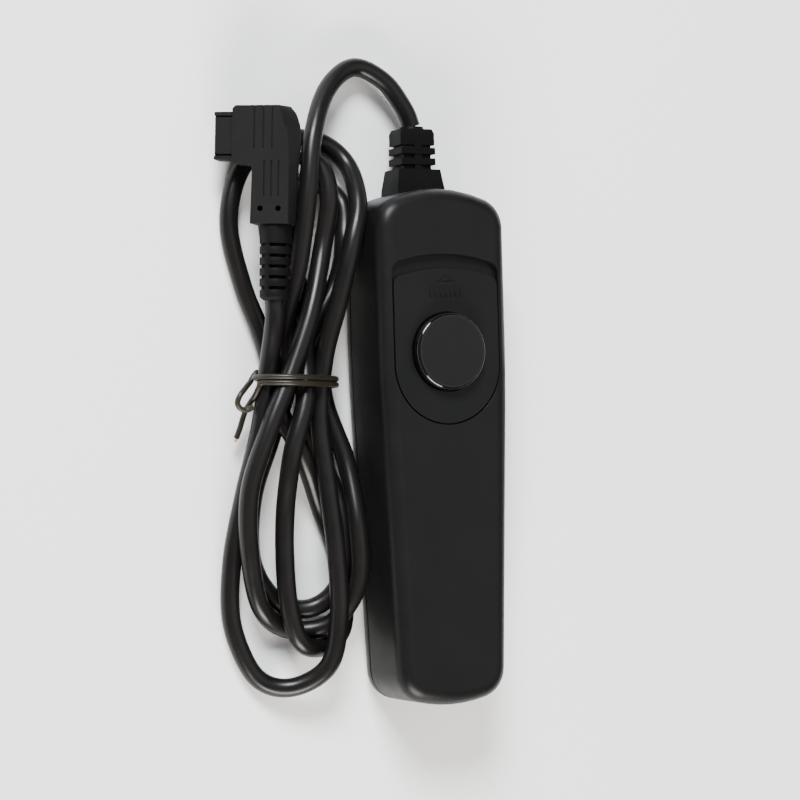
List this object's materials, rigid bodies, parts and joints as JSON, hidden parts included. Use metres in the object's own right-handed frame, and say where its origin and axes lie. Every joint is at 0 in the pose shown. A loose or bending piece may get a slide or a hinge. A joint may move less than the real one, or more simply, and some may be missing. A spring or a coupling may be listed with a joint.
{
  "type": "wired shutter release",
  "caption": "Wired camera shutter release with a two-stage push button, a sliding hold plate, a tied cord and an angled three-socket plug.",
  "frame": {"origin": "centre of the housing's back face, which lies on the table", "axes": "+X across the housing, to the right when the button faces the viewer and the cord leaves at the top; +Y along the housing to the end the cord leaves; +Z out of the button face"},
  "size_m": [0.057, 0.1265, 0.0194],
  "materials": {
    "housing_plastic": "satin black moulded plastic",
    "slider_plastic": "matte black moulded plastic",
    "button_plastic": "glossy black edge with a satin top",
    "plug_plastic": "fine-grained charcoal plastic",
    "soft_black": "moulded soft black plastic",
    "cord_jacket": "half-gloss black cord jacket",
    "tie_jacket": "dark olive wire insulation",
    "insulator": "natural moulded insulator",
    "contact_metal": "sprung brass",
    "steel": "plated steel",
    "copper": "bare copper",
    "wire_black": "black wire insulation",
    "wire_white": "white wire insulation",
    "wire_red": "red wire insulation"
  },
  "bodies": {
    "housing": {"front_shell": "housing_plastic", "back_shell": "housing_plastic", "case_screws": "steel", "contact_base": "insulator", "leaf_terminals": "contact_metal", "release_leaf": "contact_metal", "leaf_spacers": "insulator", "contact_screws": "steel", "body_strain_relief": "soft_black", "cord_clamp": "insulator", "clamp_screws": "steel", "common_wire": "wire_black", "focus_wire": "wire_white", "release_wire": "wire_red", "cord": "cord_jacket", "plug_front_shell": "plug_plastic", "plug_back_shell": "plug_plastic", "plug_tongue": "plug_plastic", "plug_sockets": "contact_metal", "plug_strain_relief": "soft_black", "cord_tie": "tie_jacket", "tie_core": "copper"},
    "slider": {"hold_slider": "slider_plastic", "slider_retainer": "slider_plastic", "retainer_screws": "steel", "button_spring": "steel"},
    "button": {"shutter_button": "button_plastic"},
    "common": {"common_leaf": "contact_metal"},
    "focus": {"focus_leaf": "contact_metal"}
  },
  "joints": [
    {"name": "hold_slide", "type": "slide", "parent": "housing", "child": "slider", "axis": [0, 1, 0], "range_m": [0, 0.0025]},
    {"name": "button_press", "type": "slide", "parent": "slider", "child": "button", "axis": [0, 0, -1], "range_m": [0, 0.002], "stiffness_N_per_m": 400, "springref_m": -0.0015, "deforming": ["button_spring"]},
    {"name": "common_leaf_flex", "type": "hinge", "parent": "housing", "child": "common", "pos_m": [0, 0.0034, 0.0096], "axis": [-1, 0, 0], "range_deg": [0, 8.1]},
    {"name": "focus_leaf_flex", "type": "hinge", "parent": "housing", "child": "focus", "pos_m": [0, 0.0034, 0.0086], "axis": [-1, 0, 0], "range_deg": [0, 5.5]}
  ],
  "couplings": [
    {"joint": "common_leaf_flex", "follows": "button_press", "rad_per_m": 70.4},
    {"joint": "focus_leaf_flex", "follows": "button_press", "rad_per_m": 47.5}
  ]
}
